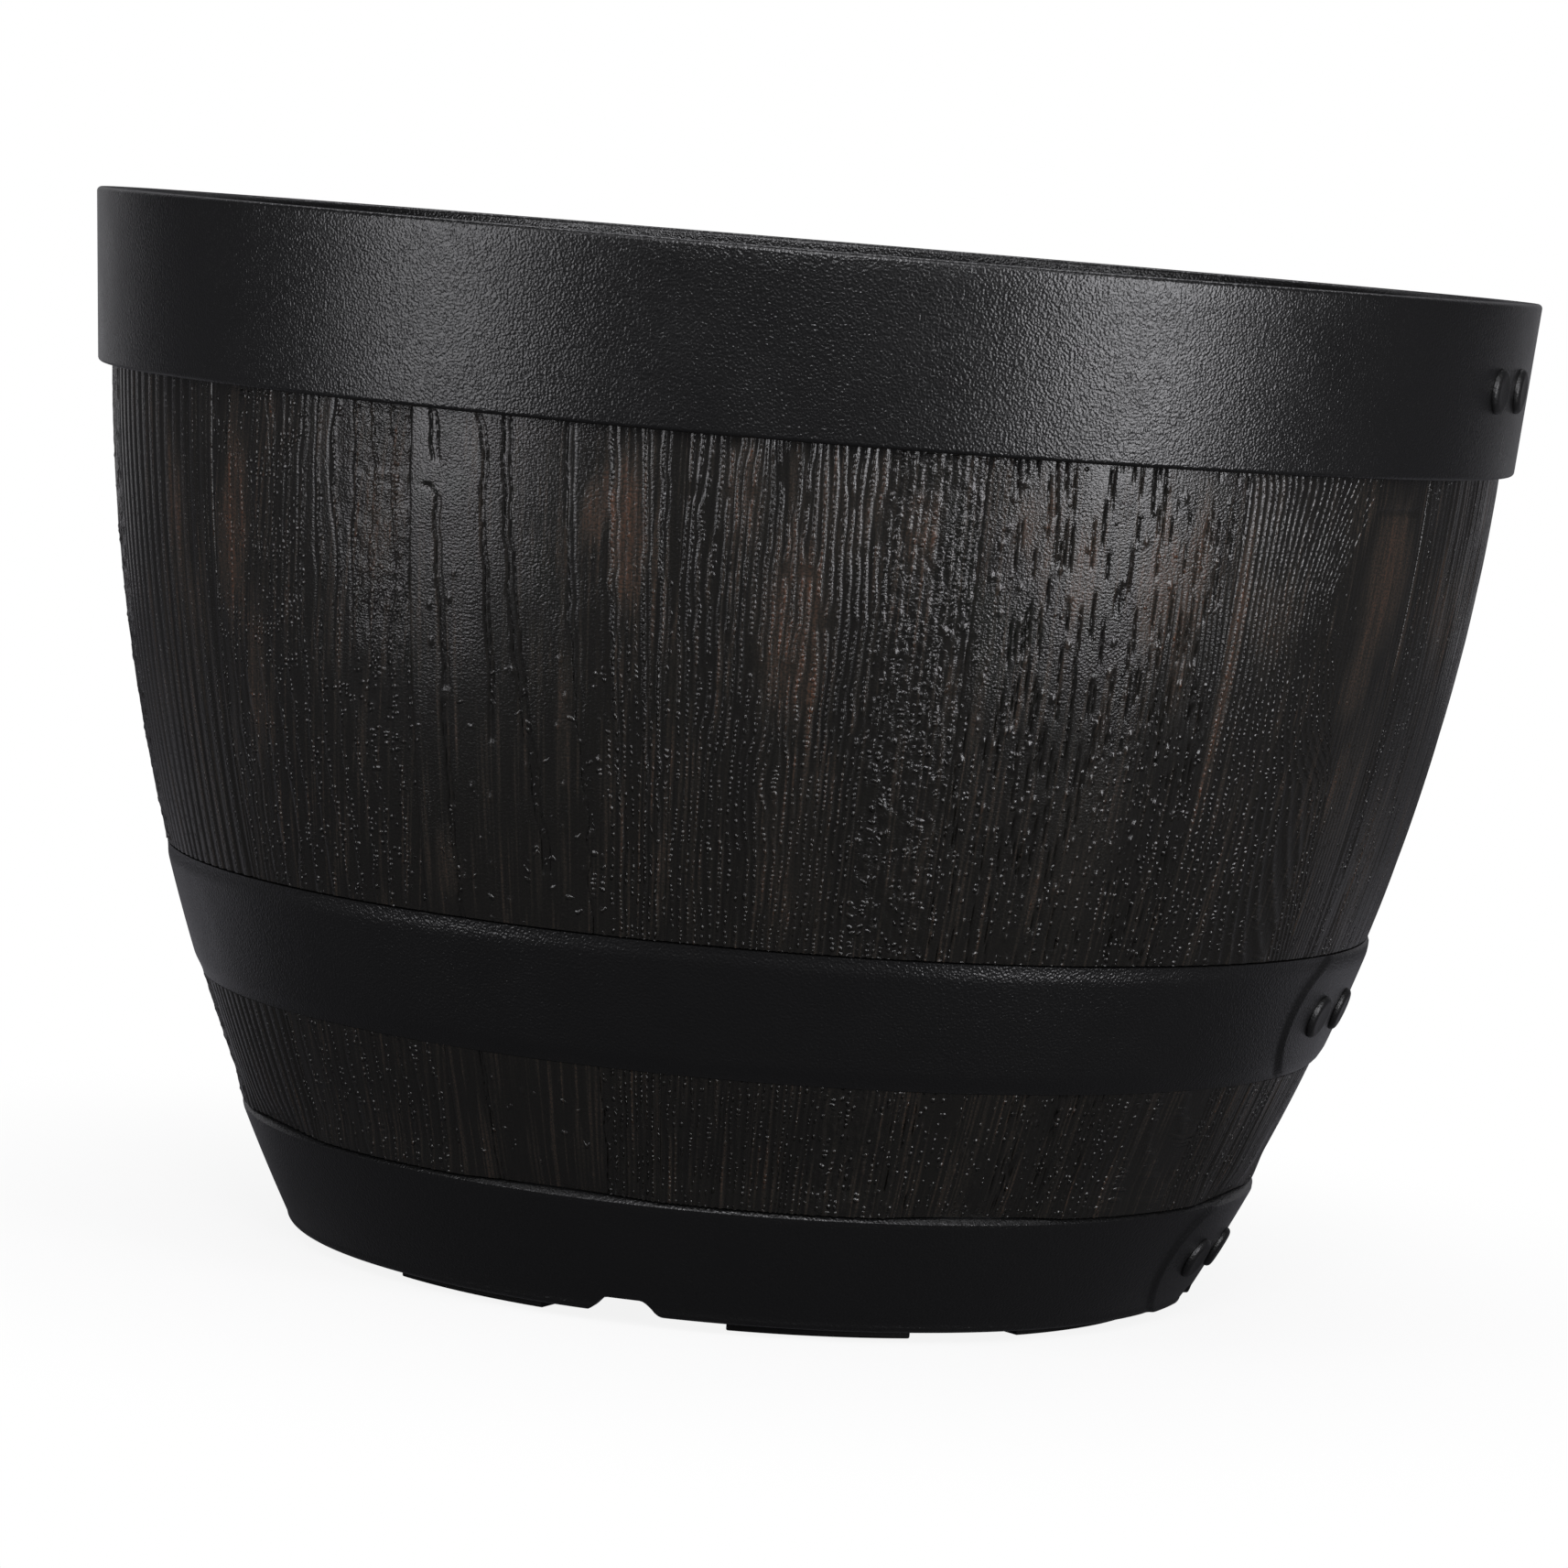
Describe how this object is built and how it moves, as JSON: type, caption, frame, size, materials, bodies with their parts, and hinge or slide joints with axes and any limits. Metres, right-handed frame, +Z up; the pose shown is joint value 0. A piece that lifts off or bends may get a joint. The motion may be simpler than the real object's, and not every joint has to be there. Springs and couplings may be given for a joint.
{
  "type": "barrel planter",
  "caption": "Half-barrel plastic planter with moulded wood-look staves, a deep rim band, riveted strap hoops, rubber feet and push-in drain plugs.",
  "frame": {"origin": "on the ground, under the middle of the pot", "axes": "+Z up along the pot's axis; -Y is the front, and the riveted strap ends face towards +X"},
  "size_m": [0.3904, 0.3904, 0.278],
  "materials": {
    "stave_plastic": "satin near-black plastic with moulded wood grain, dry-brushed brown",
    "band_plastic": "satin black plastic with a fine leather-like moulded texture",
    "rivet_plastic": "satin black plastic",
    "pad_rubber": "matt black rubber",
    "plug_rubber": "matt black rubber"
  },
  "bodies": {
    "pot": {"barrel_shell": "stave_plastic", "rim_band": "band_plastic", "middle_hoop": "band_plastic", "base_hoop": "band_plastic", "rim_rivet_1": "rivet_plastic", "rim_rivet_2": "rivet_plastic", "middle_hoop_rivet_1": "rivet_plastic", "middle_hoop_rivet_2": "rivet_plastic", "base_hoop_rivet_1": "rivet_plastic", "base_hoop_rivet_2": "rivet_plastic", "foot_pad_1": "pad_rubber", "foot_pad_2": "pad_rubber", "foot_pad_3": "pad_rubber", "foot_pad_4": "pad_rubber", "foot_pad_5": "pad_rubber", "foot_pad_6": "pad_rubber", "foot_pad_7": "pad_rubber", "foot_pad_8": "pad_rubber"},
    "drain_plug_1": {"drain_plug_1": "plug_rubber"},
    "drain_plug_2": {"drain_plug_2": "plug_rubber"},
    "drain_plug_3": {"drain_plug_3": "plug_rubber"},
    "drain_plug_4": {"drain_plug_4": "plug_rubber"}
  },
  "joints": [
    {"name": "drain_plug_1_pull", "type": "slide", "parent": "pot", "child": "drain_plug_1", "axis": [0, 0, 1], "range_m": [0, 0.03]},
    {"name": "drain_plug_2_pull", "type": "slide", "parent": "pot", "child": "drain_plug_2", "axis": [0, 0, 1], "range_m": [0, 0.03]},
    {"name": "drain_plug_3_pull", "type": "slide", "parent": "pot", "child": "drain_plug_3", "axis": [0, 0, 1], "range_m": [0, 0.03]},
    {"name": "drain_plug_4_pull", "type": "slide", "parent": "pot", "child": "drain_plug_4", "axis": [0, 0, 1], "range_m": [0, 0.03]}
  ]
}
